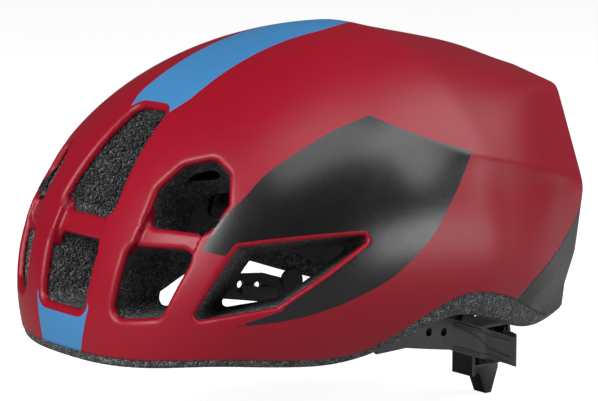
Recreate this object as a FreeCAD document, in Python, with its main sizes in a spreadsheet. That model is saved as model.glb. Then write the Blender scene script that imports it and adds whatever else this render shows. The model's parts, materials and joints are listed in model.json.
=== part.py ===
"""Cycling helmet: vented shell, foam liner, tucked-in straps and a dial-tightened nape cradle.

Millimetres. +Z is up, -Y is the front (brow) and +X is the wearer's left. The origin is on the median
plane at the height of the brow rim, midway along the head opening.
"""
import FreeCAD, Part
import math
import os

from FreeCAD import Placement, Vector

DOC = FreeCAD.newDocument("cycling_helmet")
SHEET = DOC.addObject("Spreadsheet::Sheet", "sizes")

SIZES = {
    # outer surface: front and rear lengths from the widest station, width and height
    "widest_station": 17,
    "front_length": 155,
    "rear_length": 154,
    "half_width": 108,
    "equator_height": 11.5,
    "dome_height": 128,
    "widest_height": 41,
    "side_height": 98.5,
    "front_squareness": 2.64,
    "rear_squareness": 1.38,
    "tail_foot_station": 121,
    "tail_lean": 6.5,
    "shell_wall": 1.2,
    # head cavity
    "cavity_station": -2,
    "cavity_half_length": 106,
    "cavity_half_width": 77,
    "cavity_straight": 12,
    "cavity_dome": 95,
    "headband_gap": 2.0,
    # soft parts and straps, as insets from the cavity wall
    "pad_gap": 1.0,
    "pad_thick": 5.5,
    "strap_gap": 2.0,
    "strap_thick": 1.4,
    "strap_wide": 15,
    "crown_strap_gap": 8,
    # retention band and its drive
    "band_thick": 2.0,
    "drive_station": 114,
    "rack_top": -19.5,
    "rack_tall": 8,
    "rack_thick": 1.6,
    "pinion_pitch": 5,
    "pinion_teeth": 10,
    "tooth_high": 1.3,
    "dial_round": 11,
    "dial_tall": 9,
    "cradle_half": 10,
    "nape_half": 7.5,
    "cradle_wall": 1.5,
    "mast_wide": 13,
    "mast_thick": 2.2,
    "mast_station": 102.5,
    "detent_pitch": 5,
    "running_gap": 0.4,
}


def fill_sheet():
    """Writes each driving size as a plain number with an alias of the same name."""
    for row, (alias, value) in enumerate(SIZES.items(), start=1):
        SHEET.set(f"A{row}", alias.replace("_", " "))
        SHEET.set(f"B{row}", str(value))
        SHEET.setAlias(f"B{row}", alias)
    DOC.recompute()


def size(alias):
    return float(getattr(SHEET, alias))


def cell(expression):
    """Turns words such as $rack_tall into references to the sheet's cells."""
    return expression.replace("$", "sizes.")


# ---------------------------------------------------------------- document helpers

def primitive(kind, name, sizes, position):
    """A Part primitive whose sizes and position are bound to the sheet."""
    thing = DOC.addObject("Part::" + kind, name)
    for key, expression in sizes.items():
        thing.setExpression(key, cell(expression))
    for axis, expression in zip("xyz", position):
        thing.setExpression("Placement.Base." + axis, cell(expression))
    return thing


def block(name, low, spans):
    """A box from its low corner and its three spans, all expressions."""
    keys = ("Length", "Width", "Height")
    return primitive("Box", name, dict(zip(keys, spans)), low)


def drum(name, radius, height, position):
    return primitive("Cylinder", name, {"Radius": radius, "Height": height}, position)


def joined(name, pieces):
    fuse = DOC.addObject("Part::MultiFuse", name)
    fuse.Shapes = pieces
    return fuse


def carved(name, base, tool):
    cut = DOC.addObject("Part::Cut", name)
    cut.Base = base
    cut.Tool = tool
    return cut


def feature(name, shape):
    thing = DOC.addObject("Part::Feature", name)
    thing.Shape = shape
    thing.Placement = Placement()
    return thing


def mirrored(shape):
    return shape.mirror(Vector(), Vector(1, 0, 0))


# ---------------------------------------------------------------- curved surfaces

def outline_wire(height, half_width, front, rear, station, squareness):
    """A closed horizontal outline: one superellipse ahead of the station, one behind it."""
    points = []
    count = 28
    for step in range(count):
        angle = math.pi + 2 * math.pi * step / count
        reach = front if math.cos(angle) > 0 else rear
        power = squareness[0] if math.cos(angle) > 0 else squareness[1]
        side = abs(math.sin(angle)) / half_width
        ahead = abs(math.cos(angle)) / reach
        radius = (side ** power + ahead ** power) ** (-1 / power)
        points.append(Vector(radius * math.sin(angle), station - radius * math.cos(angle), height))
    curve = Part.BSplineCurve()
    curve.interpolate(Points=points, PeriodicFlag=True)
    return Part.Wire([curve.toShape()])


def lofted(section, low, high, count):
    """A solid skin over section(height), closed at its top in a point."""
    wires = []
    for step in range(count):
        share = step / count
        rise = math.sin(share * math.pi / 2)
        wires.append(section(low + (high - low) * rise))
    top = Part.Vertex(Vector(0, wires[-1].BoundBox.Center.y, high))
    return Part.makeLoft(wires + [top], True, False)


def dome(inset):
    """The helmet's outer surface as a solid, moved inwards by an inset."""
    middle = size("equator_height")
    rise = size("dome_height") - inset
    half_width = size("half_width") - inset
    side_rise = size("side_height") - inset
    squareness = (size("front_squareness"), size("rear_squareness"))

    def section(height):
        level = abs(height - middle) / rise
        over = height - size("widest_height")
        if over > 0:
            width = half_width * math.sqrt(max(1 - (over / side_rise) ** 2, 1e-4))
        else:
            width = half_width * (1 - 0.7 * (over / 100) ** 2)
        front = (size("front_length") - inset) * math.sqrt(1 - level ** 2)
        rear = (size("rear_length") - inset) * (1 - level ** 6.6) ** (1 / 0.75)
        return outline_wire(height, width, front, rear, size("widest_station"), squareness)

    return lofted(section, -16, middle + rise, 9)


def cavity(inset):
    """The space for the head: straight elliptic walls at the rim under an ellipsoid dome."""
    half_width = size("cavity_half_width") - inset
    half_length = size("cavity_half_length") - inset
    rise = size("cavity_dome") - inset
    base = Vector(0, size("cavity_station"), size("cavity_straight"))
    stretch = FreeCAD.Matrix()
    stretch.scale(half_width, half_length, rise)
    upper = Part.makeSphere(1, Vector(), Vector(0, 0, 1), 0, 90, 360).transformGeometry(stretch)
    rim = Part.Ellipse(Vector(), half_length, half_width).toShape()
    rim.rotate(Vector(), Vector(0, 0, 1), 90)
    lower = Part.Face(Part.Wire([rim])).extrude(Vector(0, 0, -60))
    upper.translate(base)
    lower.translate(base)
    return upper.fuse(lower).removeSplitter()


def curtain(points, ceiling=170):
    """Everything above a smooth line given as side-view points (station, height)."""
    line = Part.BSplineCurve()
    line.interpolate([Vector(-130, y, z) for y, z in points])
    start = Vector(-130, *points[0])
    end = Vector(-130, *points[-1])
    upper_end = Vector(-130, end.y, ceiling)
    upper_start = Vector(-130, start.y, ceiling)
    edges = [line.toShape(),
             Part.makeLine(end, upper_end),
             Part.makeLine(upper_end, upper_start),
             Part.makeLine(upper_start, start)]
    return Part.Face(Part.Wire(edges)).extrude(Vector(260, 0, 0))


def ahead_of_tail(inset):
    """The half space ahead of the tail's flat face, which leans back towards its top."""
    slab = Part.makeBox(300, 400, 400, Vector(-150, -400, -200))
    slab.rotate(Vector(), Vector(1, 0, 0), -size("tail_lean"))
    slab.translate(Vector(0, size("tail_foot_station") - inset, 0))
    return slab


def rounded_wire(corners, radius):
    """A closed planar wire through corners, each one rounded by a tangent arc."""
    edges = []
    starts = []
    count = len(corners)
    for index, corner in enumerate(corners):
        back = (corners[index - 1] - corner).normalize()
        ahead = (corners[(index + 1) % count] - corner).normalize()
        half = back.getAngle(ahead) / 2
        reach = radius / math.tan(half)
        middle = (back + ahead).normalize()
        deep = radius / math.sin(half) - radius
        starts.append((corner + back * reach, corner + middle * deep, corner + ahead * reach))
    for index, (enter, deepest, leave) in enumerate(starts):
        edges.append(Part.Arc(enter, deepest, leave).toShape())
        edges.append(Part.makeLine(leave, starts[(index + 1) % count][0]))
    return Part.Wire(edges)


def duct(corners, radius, focus, inner=0.45, outer=1.2):
    """A tapered hole through the wall, whose sides all point at a focus inside the head space."""
    centre = Vector()
    for corner in corners:
        centre += corner * (1 / len(corners))
    axis = centre - focus
    rings = []
    for share in (inner, outer):
        ring = []
        for corner in corners:
            ray = corner - focus
            ring.append(focus + ray * (share * axis.Length ** 2 / ray.dot(axis)))
        rings.append(rounded_wire(ring, radius * share))
    return Part.makeLoft(rings, True, True)


def side_prism(points, low, high, radius=None):
    """A side-view outline (station, height) extended along X from low to high."""
    corners = [Vector(low, y, z) for y, z in points]
    if radius is None:
        wire = Part.makePolygon(corners + corners[:1])
    else:
        wire = rounded_wire(corners, radius)
    return Part.Face(wire).extrude(Vector(high - low, 0, 0))


def band_along(start, end, width):
    """Corners of a straight side-view band of a given width between two points."""
    run = Vector(end[0] - start[0], end[1] - start[1], 0).normalize()
    across = Vector(-run.y, run.x, 0) * (width / 2)
    return [(start[0] + across.x, start[1] + across.y),
            (end[0] + across.x, end[1] + across.y),
            (end[0] - across.x, end[1] - across.y),
            (start[0] - across.x, start[1] - across.y)]


# ---------------------------------------------------------------- vents

FOCUS = Vector(0, -10, 22)
TAIL_FOCUS = Vector(0, 20, 34)

CENTRE_VENTS = {
    "upper": [(-10, -88, 106), (10, -88, 106), (19, -124, 62), (-19, -124, 62)],
    "lower": [(-19.5, -130, 52), (19.5, -130, 52), (17, -137, 21), (-17, -137, 21)],
}
SIDE_VENTS = {
    "upper": [(40, -109, 82), (50, -96, 91), (64, -93, 86), (70, -97, 74), (69, -106, 62), (41, -121, 62)],
    "lower": [(38, -126, 52), (66, -113, 52), (60, -124, 24), (37, -134, 20)],
    "flank": [(79, -99, 54), (104, -46, 57), (98, -67, 43), (90, -87, 29), (68, -117, 23)],
}
TAIL_PORTS = {
    "high": [(9, 131, 96), (24, 131, 93), (33, 127, 66), (9, 127, 62)],
    "low": [(9, 126, 52), (34, 126, 54), (33, 123, 26), (9, 123, 22)],
}


def vent_cutters():
    """All air ducts: brow and flank vents at the front, exhaust ports at the tail."""
    cutters = []
    for corners in CENTRE_VENTS.values():
        cutters.append(duct([Vector(*p) for p in corners], 5, FOCUS))
    for corners in SIDE_VENTS.values():
        cutter = duct([Vector(*p) for p in corners], 4, FOCUS)
        cutters += [cutter, mirrored(cutter)]
    for corners in TAIL_PORTS.values():
        cutter = duct([Vector(*p) for p in corners], 4, TAIL_FOCUS)
        cutters += [cutter, mirrored(cutter)]
    return cutters


# ---------------------------------------------------------------- shell and liner

SHELL_RIM = [(-170, 2), (-132, 3), (-108, 6), (-80, 3.5), (-55, 1.5), (-36, 5), (-16, 18), (8, 27),
             (36, 21), (66, 8), (94, -2), (122, -3), (150, -3)]
LINER_RIM = [(-170, -3), (-132, -2), (-108, 1.5), (-80, -1), (-55, -3), (-36, 0), (-18, 8), (4, 16),
             (30, 10), (56, 0), (80, -6), (108, -6), (150, -4)]
TAIL_PANEL_LINE = ((52, -8), (141, 48))
TAIL_PANEL_HEX = [(-20, 101), (20, 101), (43, 60), (43, -20), (-43, -20), (-43, 60)]


def tail_region():
    """Where the rear cover takes over from the main shell: below a side line and on the tail's face."""
    (y0, z0), (y1, z1) = TAIL_PANEL_LINE
    below = side_prism([(y0, z0), (y1, z1), (y1 + 40, z1), (y1 + 40, -60), (y0, -60)], -130, 130)
    corners = [Vector(x, 116, z) for x, z in TAIL_PANEL_HEX]
    face = Part.Face(Part.makePolygon(corners + corners[:1])).extrude(Vector(0, 60, 0))
    return below.fuse(face)


def make_shells(cutters):
    wall = size("shell_wall")
    outer = dome(0).common(ahead_of_tail(0))
    inner = dome(wall).common(ahead_of_tail(wall))
    skin = outer.cut(inner).common(curtain(SHELL_RIM)).cut(cutters)
    region = tail_region()
    feature("outer_shell", largest(skin.cut(region)))
    feature("tail_shell", largest(skin.common(region)))
    return inner


def largest(shape):
    return max(shape.Solids, key=lambda solid: solid.Volume)


def make_liner(body, cutters):
    """Foam liner with its ducts, inner channels and the pockets that hold the hardware."""
    foam = body.common(curtain(LINER_RIM)).cut(cavity(0))
    channels = [Part.makeCylinder(9, 230, Vector(x, -118, z), Vector(0, 1, lean))
                for x, z, lean in ((0, 96, 0.02), (38, 86, -0.02), (-38, 86, -0.02))]
    pocket_half = size("mast_wide") / 2 + 3
    pocket = Part.makeBox(2 * pocket_half, 18, 74, Vector(-pocket_half, 92, -12))
    stud_hole = mast_stud(0.05)
    tools = cutters + channels + [pocket, stud_hole] + anchor_pockets() + plug_holes()
    feature("eps_liner", largest(foam.cut(tools)))


ANCHORS = {"front": (-52, 8), "rear": (62, 14)}
ANCHOR_TALL = 12
ANCHOR_LONG = 18
ANCHOR_DEEP = 7


def anchor_block(where, grow=0.0):
    """One moulded-in strap anchor on the left side, following the cavity wall and a little proud of it."""
    station, height = ANCHORS[where]
    half_long = ANCHOR_LONG / 2 + grow
    half_tall = ANCHOR_TALL / 2 + grow
    low = Vector(40, station - half_long, height - half_tall)
    frame = Part.makeBox(60, 2 * half_long, 2 * half_tall, low)
    return frame.common(cavity(-ANCHOR_DEEP - grow)).cut(cavity(size("strap_gap")))


def anchor_pockets():
    pockets = [anchor_block(where, 0.05) for where in ANCHORS]
    return pockets + [mirrored(pocket) for pocket in pockets]


PLUG_ANGLES = (-50, 0, 50)
PLUG_HEIGHT = 12
PLUG_ROUND = 2.3


def plug_line(angle):
    """Where a headband plug passes the band's inner face, and the level direction it runs into the foam."""
    turn = math.radians(angle)
    inset = size("headband_gap") + size("band_thick")
    half_width = size("cavity_half_width") - inset
    half_length = size("cavity_half_length") - inset
    side = half_width * math.sin(turn)
    ahead = half_length * math.cos(turn)
    outward = Vector(side / half_width ** 2, -ahead / half_length ** 2, 0).normalize()
    return Vector(side, size("cavity_station") - ahead, PLUG_HEIGHT), outward


def plug_holes():
    holes = []
    for angle in PLUG_ANGLES:
        start, outward = plug_line(angle)
        holes.append(Part.makeCylinder(PLUG_ROUND + 0.05, 14.3, start, outward))
    return holes


# ---------------------------------------------------------------- headband, pads and straps

def make_headband():
    """The front half of the headband, with the plugs that hold it to the liner."""
    gap = size("headband_gap")
    outline = side_prism([(-130, 5), (-130, 19), (-72, 17), (-66, 14), (-66, 4), (-72, 3)], -90, 90)
    ring = cavity(gap).cut(cavity(gap + size("band_thick")))
    plugs = []
    for angle in PLUG_ANGLES:
        start, outward = plug_line(angle)
        head = Part.makeCylinder(4.2, 1.2, start - outward * 1.2, outward)
        stem = Part.makeCylinder(PLUG_ROUND, 14, start, outward)
        plugs.append(head.fuse(stem).removeSplitter())
    feature("headband", largest(ring.common(outline).cut(plug_holes() + plugs)))
    feature("headband_plugs", Part.makeCompound(plugs))


def pad_shell():
    gap = size("pad_gap")
    return cavity(gap).cut(cavity(gap + size("pad_thick")))


def make_pads():
    """Brow, crown and side pads, with the hook dots that hold the crown and side pads."""
    brow_gap = size("headband_gap") + size("band_thick") + 1.8
    brow_outline = side_prism([(-130, 3), (-130, 21), (-62, 20), (-62, 3)], -72, 72)
    brow = cavity(brow_gap).cut(cavity(brow_gap + size("pad_thick"))).common(brow_outline)
    feature("brow_pad", largest(brow))
    shell = pad_shell()
    dots = cavity(0.05).cut(cavity(size("pad_gap") - 0.05))
    spots = []
    crown = Part.makeBox(30, 104, 60, Vector(-15, -56, 70))
    feature("crown_pad", largest(shell.common(crown)))
    spots += [Part.makeCylinder(6, 60, Vector(0, y, 70)) for y in (-32, 8, 38)]
    for name, sign in (("left", 1), ("right", -1)):
        slab = side_prism([(-46, 58), (-38, 84), (30, 84), (38, 58)], 30, 90, 6)
        pad = largest(shell.common(slab))
        feature("side_pad_" + name, pad if sign > 0 else mirrored(pad))
        for station in (-26, 20):
            spots.append(Part.makeCylinder(6, 90, Vector(0, station, 69), Vector(sign, 0, 0)))
    feature("pad_hook_dots", Part.makeCompound([largest(dots.common(spot)) for spot in spots]))


DIVIDER = (4, 46)


def make_straps():
    """Webbing tucked up inside the bowl: a V on each side, a divider, and the chin strap over the top."""
    gap = size("strap_gap")
    thick = size("strap_thick")
    wide = size("strap_wide")
    layer = cavity(gap).cut(cavity(gap + thick))
    ends = {"front": band_along((-52, 14.2), (DIVIDER[0] - 9, DIVIDER[1] - 3), wide),
            "rear": band_along((60, 16.2), (DIVIDER[0] + 9, DIVIDER[1] - 3), wide)}
    crown_gap = size("crown_strap_gap")
    crown_layer = cavity(crown_gap).cut(cavity(crown_gap + thick))
    reach = BUCKLE_HALF + 0.1
    for name, sign in (("left", 1), ("right", -1)):
        for where, corners in ends.items():
            strap = largest(layer.common(side_prism(corners, 30, 90)))
            feature(f"{where}_strap_{name}", strap if sign > 0 else mirrored(strap))
        low = Vector(reach, DIVIDER[0] - wide / 2, DIVIDER[1] + 10.2)
        chin = largest(crown_layer.common(Part.makeBox(90, wide, 90, low)))
        feature("chin_strap_" + name, chin if sign > 0 else mirrored(chin))
    feature("strap_anchors", Part.makeCompound(
        [shape for where in ANCHORS for shape in (anchor_block(where), mirrored(anchor_block(where)))]))


BUCKLE_HALF = 21
BUCKLE_TOP = 97.2


def make_buckle():
    """A side-release buckle at the top of the tucked strap: a socket and a two-pronged plug."""
    block("socket_body", ("0", f"{DIVIDER[0] - 11}", f"{BUCKLE_TOP - 7}"), (f"{BUCKLE_HALF}", "22", "7"))
    block("socket_room", ("-1", f"{DIVIDER[0] - 9}", f"{BUCKLE_TOP - 5.5}"), ("15", "18", "4"))
    block("window_left", ("4", f"{DIVIDER[0] + 8}", f"{BUCKLE_TOP - 5.5}"), ("9", "4", "4"))
    block("window_right", ("4", f"{DIVIDER[0] - 12}", f"{BUCKLE_TOP - 5.5}"), ("9", "4", "4"))
    rooms = joined("socket_rooms", [DOC.socket_room, DOC.window_left, DOC.window_right])
    carved("buckle_socket", DOC.socket_body, rooms)
    block("plug_body", (f"-{BUCKLE_HALF}", f"{DIVIDER[0] - 11}", f"{BUCKLE_TOP - 7}"),
          (f"{BUCKLE_HALF} - 0.3", "22", "7"))
    block("plug_tongue", ("-1", f"{DIVIDER[0] - 2}", f"{BUCKLE_TOP - 5}"), ("13", "4", "3"))
    block("prong_left", ("-1", f"{DIVIDER[0] + 5}", f"{BUCKLE_TOP - 5}"), ("13", "3", "3"))
    block("prong_right", ("-1", f"{DIVIDER[0] - 8}", f"{BUCKLE_TOP - 5}"), ("13", "3", "3"))
    joined("buckle_plug", [DOC.plug_body, DOC.plug_tongue, DOC.prong_left, DOC.prong_right])


def make_dividers():
    """Ear-side strap dividers: a slotted plate and the cam lever that locks the webbing in it."""
    gap = size("strap_gap")
    low = gap + size("strap_thick") + 0.2
    body_layer = cavity(low).cut(cavity(low + 3))
    outline = side_prism([(DIVIDER[0] - 12, DIVIDER[1] - 8), (DIVIDER[0] - 10, DIVIDER[1] + 9),
                          (DIVIDER[0] + 10, DIVIDER[1] + 9), (DIVIDER[0] + 12, DIVIDER[1] - 8)], 30, 90, 4)
    plate = largest(body_layer.common(outline))
    inner = plate.optimalBoundingBox(False).XMin
    pin_side = inner - 1.9
    pin_low = Vector(pin_side, DIVIDER[0] - 8.5, DIVIDER[1] + 3)
    lugs = [Part.makeBox(8, 2, 5, Vector(pin_side - 1.8, DIVIDER[0] - 8.5, DIVIDER[1] + 0.5)),
            Part.makeBox(8, 2, 5, Vector(pin_side - 1.8, DIVIDER[0] + 6.5, DIVIDER[1] + 0.5))]
    lug_trim = cavity(low + 0.5)
    lugs = [lug.common(lug_trim) for lug in lugs]
    hole = Part.makeCylinder(1.05, 17, pin_low, Vector(0, 1, 0))
    body = plate.fuse(lugs).cut(hole)
    pin = Part.makeCylinder(1.0, 17, pin_low, Vector(0, 1, 0))
    cam = Part.makeCylinder(1.7, 12.4, pin_low + Vector(0, 2.3, 0), Vector(0, 1, 0))
    blade = Part.makeBox(1.4, 12.4, 12, Vector(pin_side - 1.4, DIVIDER[0] - 6.2, DIVIDER[1] - 9))
    lever = cam.fuse(blade).fuse(pin).removeSplitter()
    for name, sign in (("left", 1), ("right", -1)):
        feature("divider_" + name, largest(body) if sign > 0 else mirrored(largest(body)))
        feature("divider_lever_" + name, largest(lever) if sign > 0 else mirrored(largest(lever)))
    print(f"lever pin: x {pin_side:.4f}, y {DIVIDER[0]}, z {DIVIDER[1] + 3}")


# ---------------------------------------------------------------- retention band and cradle

ARM_TOP = [(-16, 6), (0, 8), (28, 6), (57, -3.5), (84, -13), (100, -18.5), (125, -18.5)]
ARM_FOOT = [(125, -34), (103, -34), (84, -27), (57, -19), (28, -9), (0, -4), (-16, -5)]
ARM_PLAN = [(71, -18), (72.5, 0), (70.5, 28), (60.5, 57), (41, 84)]
LUG_SPOT = (42, 1.5)
WINDOWS = ((14, 1.5), (24, 0))


def ribbon(points, end, thick):
    """A thin upright sheet along plan points that ends level with X at the end point."""
    path = Part.BSplineCurve()
    spots = [Vector(x, y, -60) for x, y in points + [end]]
    start_run = (spots[1] - spots[0]).normalize() * 18
    path.interpolate(Points=spots, InitialTangent=start_run, FinalTangent=Vector(-24, 0, 0))
    sides = []
    steps = 24
    for offset in (-thick / 2, thick / 2):
        line = []
        for step in range(steps + 1):
            at = path.FirstParameter + (path.LastParameter - path.FirstParameter) * step / steps
            run = path.tangent(at)[0]
            line.append(path.value(at) + Vector(-run.y, run.x, 0) * offset)
        curve = Part.BSplineCurve()
        curve.interpolate(line)
        sides.append(curve.toShape())
    caps = [Part.makeLine(sides[0].Vertexes[end_index].Point, sides[1].Vertexes[end_index].Point)
            for end_index in (0, -1)]
    wire = Part.Wire(Part.sortEdges([*sides, *caps])[0])
    return Part.Face(wire).extrude(Vector(0, 0, 90))


def rack_strip(strip_station, tooth_side):
    """A straight rack along X with teeth on one side, for the pinion's pitch."""
    pitch = 2 * math.pi * size("pinion_pitch") / size("pinion_teeth")
    thick = size("rack_thick")
    top = size("rack_top") - 1
    tall = size("rack_tall") - 2
    strip = Part.makeBox(38, thick, tall, Vector(-13, strip_station - thick / 2, top - tall))
    teeth = []
    high = size("tooth_high")
    root = strip_station + tooth_side * thick / 2
    for index in range(-5, 9):
        middle = (index + 0.5) * pitch
        if middle - pitch / 2 < -13 or middle > 24:
            continue
        foot = root - tooth_side * 0.2
        tip = root + tooth_side * high
        profile = [(middle - pitch * 0.22, foot), (middle + pitch * 0.22, foot),
                   (middle + pitch * 0.10, tip), (middle - pitch * 0.10, tip)]
        corners = [Vector(x, y, top - tall) for x, y in profile]
        teeth.append(Part.Face(Part.makePolygon(corners + corners[:1])).extrude(Vector(0, 0, tall)))
    return strip.fuse(teeth).removeSplitter()


def make_arms():
    """Left and right band arms, each a flexible ribbon that ends in a rack beside the pinion."""
    top = [(y, z) for y, z in ARM_TOP]
    outline = side_prism(top + ARM_FOOT, 12, 90)
    reach = size("pinion_pitch") + size("tooth_high") / 2 + size("rack_thick") / 2
    for name, strip_side in (("left", -1), ("right", 1)):
        strip_station = size("drive_station") + strip_side * reach
        band = ribbon(ARM_PLAN, (23, strip_station), size("band_thick")).common(outline)
        lug = Part.makeCylinder(5.5, 3.2, Vector(64.2, *LUG_SPOT), Vector(1, 0.3, 0))
        windows = [Part.makeCylinder(2, 30, Vector(55, y, z), Vector(1, 0, 0)) for y, z in WINDOWS]
        rack = rack_strip(strip_station, -strip_side)
        arm = band.fuse([lug]).cut(windows).fuse(rack)
        feature("arm_" + name, largest(arm) if name == "left" else mirrored(largest(arm)))
        pad_outline = side_prism([(12, -5), (12, 4), (35, -1), (35, -10)], 30, 90, 2)
        inner = [(x - 3.0, y - 0.4) for x, y in ARM_PLAN]
        pad = ribbon(inner, (22, strip_station - 3), 2.4).common(pad_outline)
        feature("arm_pad_" + name, largest(pad) if name == "left" else mirrored(largest(pad)))


def make_cradle():
    """Housing halves around the racks, the mast that slides in the liner's clip, and the nape prop."""
    low_z = "$rack_top - $rack_tall - $cradle_wall"
    tall = "$rack_tall + 2 * $cradle_wall"
    deep = "$pinion_pitch + $tooth_high + $rack_thick + $cradle_wall + $running_gap"
    block("front_shell", ("-$cradle_half", f"$drive_station - ({deep})", low_z),
          ("2 * $cradle_half", deep, tall))
    block("front_room", ("-$cradle_half - 1", f"$drive_station - ({deep}) + $cradle_wall",
                         "$rack_top - $rack_tall"),
          ("2 * $cradle_half + 2", deep, "$rack_tall"))
    block("rear_shell", ("-$cradle_half", "$drive_station", low_z), ("2 * $cradle_half", deep, tall))
    block("rear_room", ("-$cradle_half - 1", "$drive_station - 1", "$rack_top - $rack_tall"),
          ("2 * $cradle_half + 2", f"{deep} - $cradle_wall + 1", "$rack_tall"))
    shaft_z = "$rack_top - $rack_tall - $cradle_wall - 1"
    for side in ("front", "rear"):
        drum(side + "_shaft_hole", "3.05", "$cradle_wall + 2", ("0", "$drive_station", shaft_z))
        joined(side + "_rooms", [DOC.getObject(side + "_room"), DOC.getObject(side + "_shaft_hole")])
    carved("cradle_rear", DOC.rear_shell, DOC.rear_rooms)
    block("nape_plate", ("-$nape_half", "$mast_station - $mast_thick",
                         "$rack_top - $rack_tall - $dial_tall - 7.5"),
          ("2 * $nape_half", "$mast_thick", "$rack_tall + $dial_tall + 7.5"))
    carved("front_hollow", DOC.front_shell, DOC.front_rooms)
    block("nape_bridge", ("-$nape_half", "$mast_station - $mast_thick", low_z),
          ("2 * $nape_half", f"$drive_station - ({deep}) - $mast_station + $mast_thick + 0.5",
           "$rack_tall + $cradle_wall"))
    joined("cradle_front", [DOC.front_hollow, DOC.nape_plate, DOC.nape_bridge])


def toothed_wheel():
    """A spur pinion with straight-flanked teeth on its pitch circle."""
    teeth = int(size("pinion_teeth"))
    pitch_radius = size("pinion_pitch")
    high = size("tooth_high")
    root = pitch_radius - high / 2 - 0.25
    tip = pitch_radius + high / 2 - 0.1
    step = 2 * math.pi / teeth
    corners = []
    for index in range(teeth):
        middle = index * step + step / 2
        for radius, offset in ((root, -0.25), (tip, -0.11), (tip, 0.11), (root, 0.25)):
            angle = middle + offset * step
            corners.append(Vector(radius * math.cos(angle), radius * math.sin(angle), 0))
    tall = size("rack_tall") - 2
    wheel = Part.Face(Part.makePolygon(corners + corners[:1])).extrude(Vector(0, 0, tall))
    base = Vector(0, size("drive_station"), size("rack_top") - 1 - tall)
    wheel.translate(base)
    return wheel


def make_drive():
    """Dial wheel, rubber grip, pinion and the screw that holds them on one upright axis."""
    station = size("drive_station")
    roof = size("rack_top") - size("rack_tall") - size("cradle_wall") - 0.4
    tall = size("dial_tall")
    round_out = size("dial_round")
    pinion = toothed_wheel()
    hub = Part.makeCylinder(3.0, pinion.BoundBox.ZMin - roof, Vector(0, station, roof))
    bore = Part.makeCylinder(1.3, 60, Vector(0, station, -60))
    feature("pinion", pinion.fuse(hub).removeSplitter().cut(bore))
    wheel = Part.makeCylinder(round_out - 2, tall, Vector(0, station, roof - tall))
    wheel = wheel.cut(Part.makeCylinder(round_out - 5, tall - 4, Vector(0, station, roof - tall)))
    feature("dial", wheel.cut(bore))
    grip = Part.makeCylinder(round_out, tall - 0.6, Vector(0, station, roof - tall + 0.3))
    grip = grip.cut(Part.makeCylinder(round_out - 2, tall, Vector(0, station, roof - tall)))
    ribs = 18
    flutes = []
    for index in range(ribs):
        angle = 2 * math.pi * index / ribs
        reach = round_out + 0.5
        spot = Vector(math.cos(angle) * reach, station + math.sin(angle) * reach, -60)
        flutes.append(Part.makeCylinder(1.1, 60, spot))
    feature("dial_grip", grip.cut(flutes))
    screw = Part.makeCylinder(1.25, 13, Vector(0, station, roof - tall + 4.2 - 1.0))
    head = Part.makeCylinder(2.4, 1.4, Vector(0, station, roof - tall + 4.0 - 1.4))
    feature("dial_screw", screw.fuse(head).removeSplitter())


def mast_stud(grow=0.0):
    """The stud that holds the mast clip in the liner."""
    start = Vector(0, size("mast_station") + size("running_gap") + 1.2, 15)
    return Part.makeCylinder(3.0 + grow, 12 + grow, start, Vector(0, 1, 0))


def make_mast():
    """The upright strip with detent holes that sets the cradle's height, and the clip it slides in."""
    wide = size("mast_wide")
    thick = size("mast_thick")
    station = size("mast_station") - thick
    low = size("rack_top")
    strip = Part.makeBox(wide, thick, 56, Vector(-wide / 2, station, low))
    pitch = size("detent_pitch")
    holes = [Part.makeCylinder(1.5, 12, Vector(0, station - 4, 0 + pitch * index), Vector(0, 1, 0))
             for index in range(7)]
    feature("cradle_mast", strip.cut(holes))
    gap = size("running_gap")
    base = Vector(-wide / 2 - gap - 1.6, station - gap - 1.6, 10)
    clip = Part.makeBox(wide + 2 * gap + 3.2, thick + 2 * gap + 3.2, 10, base)
    room = Part.makeBox(wide + 2 * gap, thick + 2 * gap, 20, Vector(-wide / 2 - gap, station - gap, 5))
    feature("mast_clip", clip.cut(room).fuse(mast_stud()).removeSplitter())


def make_prop():
    """The pointed prop below the dial that steadies it and rests at the nape."""
    near = size("mast_station")
    middle = size("drive_station")
    top = -39.2
    tip = -55
    outline = [(near, top), (middle + 7, top), (middle + 7, top - 3), (middle + 2.5, tip),
               (middle - 1.5, tip), (middle - 6, top - 5), (near, top - 5)]
    feature("nape_prop", side_prism(outline, -4.5, 4.5, 0.6))


def check_and_export():
    """Stops on a failed object, then writes one STEP file per sub-part."""
    DOC.recompute()
    for thing in DOC.Objects:
        if "Invalid" in thing.State or "Error" in thing.State:
            raise RuntimeError(f"{thing.Name} failed: {thing.State}")
    os.makedirs("parts", exist_ok=True)
    helpers = {linked.Name for thing in DOC.Objects for linked in thing.OutList}
    for thing in DOC.Objects:
        if thing.Name in helpers or not thing.isDerivedFrom("Part::Feature"):
            continue
        thing.Label = thing.Name
        shape = thing.Shape
        if shape.isNull() or not shape.isValid():
            raise RuntimeError(f"{thing.Name} has no valid shape")
        shape.exportStep(f"parts/{thing.Name}.step")
        box = shape.optimalBoundingBox(False)
        spans = f"x {box.XMin:.1f}..{box.XMax:.1f} y {box.YMin:.1f}..{box.YMax:.1f}"
        print(f"{thing.Name:22s} {len(shape.Solids)} solid(s) {shape.Volume / 1000:8.2f} cm3 "
              f"{spans} z {box.ZMin:.1f}..{box.ZMax:.1f}")


fill_sheet()
ducts = vent_cutters()
liner_body = make_shells(ducts)
make_liner(liner_body, ducts)
make_headband()
make_pads()
make_straps()
make_buckle()
make_dividers()
make_arms()
make_cradle()
make_drive()
make_mast()
make_prop()
check_and_export()
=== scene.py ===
"""Looks of the cycling helmet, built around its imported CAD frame.

Shapes are worked out in millimetres in the row frame (+Z up, -Y the brow, +X the wearer's left) and
turned into metres when a mesh is made. The shell and the foam liner are one distance field, meshed on
a grid and cut along the paint and part borders.
"""

import json
import math

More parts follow.
